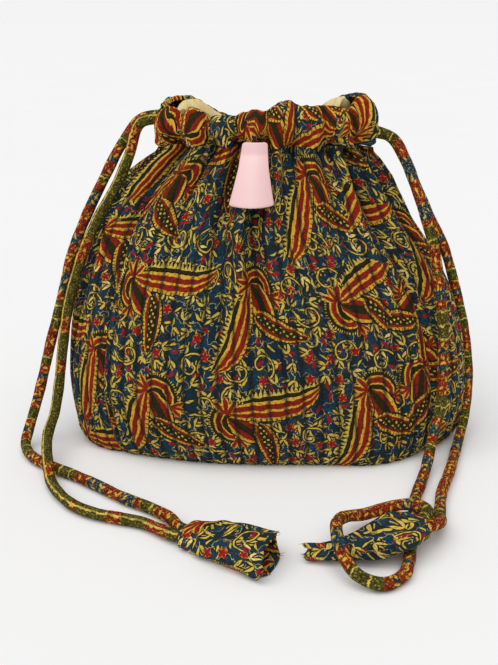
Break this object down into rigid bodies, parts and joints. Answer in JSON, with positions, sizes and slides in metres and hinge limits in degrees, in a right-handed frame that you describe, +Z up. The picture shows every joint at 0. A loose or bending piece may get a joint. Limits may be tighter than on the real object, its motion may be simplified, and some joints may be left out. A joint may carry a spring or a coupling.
{
  "type": "drawstring pouch",
  "caption": "Quilted cotton drawstring pouch that stands on an oval base, with a gathered cased mouth, drawstrings leaving each side, cloth cord ends and a bare label tab.",
  "frame": {"origin": "centre of the pouch's footprint on the floor, without the drawstrings", "axes": "+X along the pouch's width, to the right of someone facing its front, +Y from the front to the back, +Z up"},
  "size_m": [0.3241, 0.3029, 0.24],
  "materials": {
    "quilt": "printed quilted cotton, matt",
    "lining": "plain woven cotton, matt",
    "casing": "printed cotton, matt",
    "cord_end": "printed cotton, matt, raw edge",
    "cord": "printed cotton sewn into a round tube, matt",
    "label": "smooth satin"
  },
  "bodies": {
    "root": {"front_panel": "quilt", "back_panel": "quilt", "left_side_panel": "quilt", "right_side_panel": "quilt", "base_panel": "quilt", "lining_base": "lining", "lining_wall": "lining", "casing_front": "casing", "casing_back": "casing", "left_cord_end": "cord_end", "right_cord_end": "cord_end", "left_drawstring": "cord", "right_drawstring": "cord", "label": "label"}
  },
  "joints": []
}
